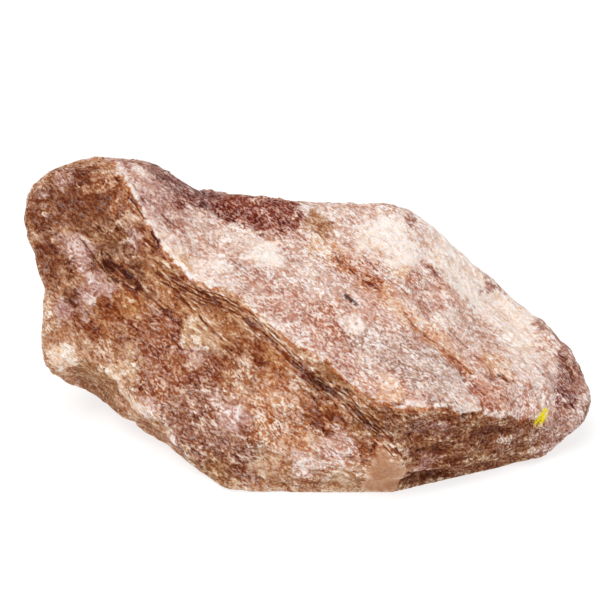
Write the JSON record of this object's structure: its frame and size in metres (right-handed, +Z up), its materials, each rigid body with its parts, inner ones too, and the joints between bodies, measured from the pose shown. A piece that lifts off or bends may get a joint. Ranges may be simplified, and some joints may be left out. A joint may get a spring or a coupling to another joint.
{
  "type": "halite rock salt block",
  "caption": "Rough natural block of pink and brown rock salt with broken faces, a sloping slab top and a flat base to rest on.",
  "frame": {"origin": "centre of the box around the block, at the flat base that it rests on", "axes": "+X along the block's longest side, from the tall crown end to the low pointed end; +Y away from the sloping slab face; +Z up from the base"},
  "size_m": [0.266, 0.147, 0.117],
  "materials": {
    "salt": "rough broken rock salt in pink, cream and rust brown, with pale frosted edges and a soft waxy glint on the grains"
  },
  "bodies": {
    "root": {"halite": "salt"}
  },
  "joints": []
}
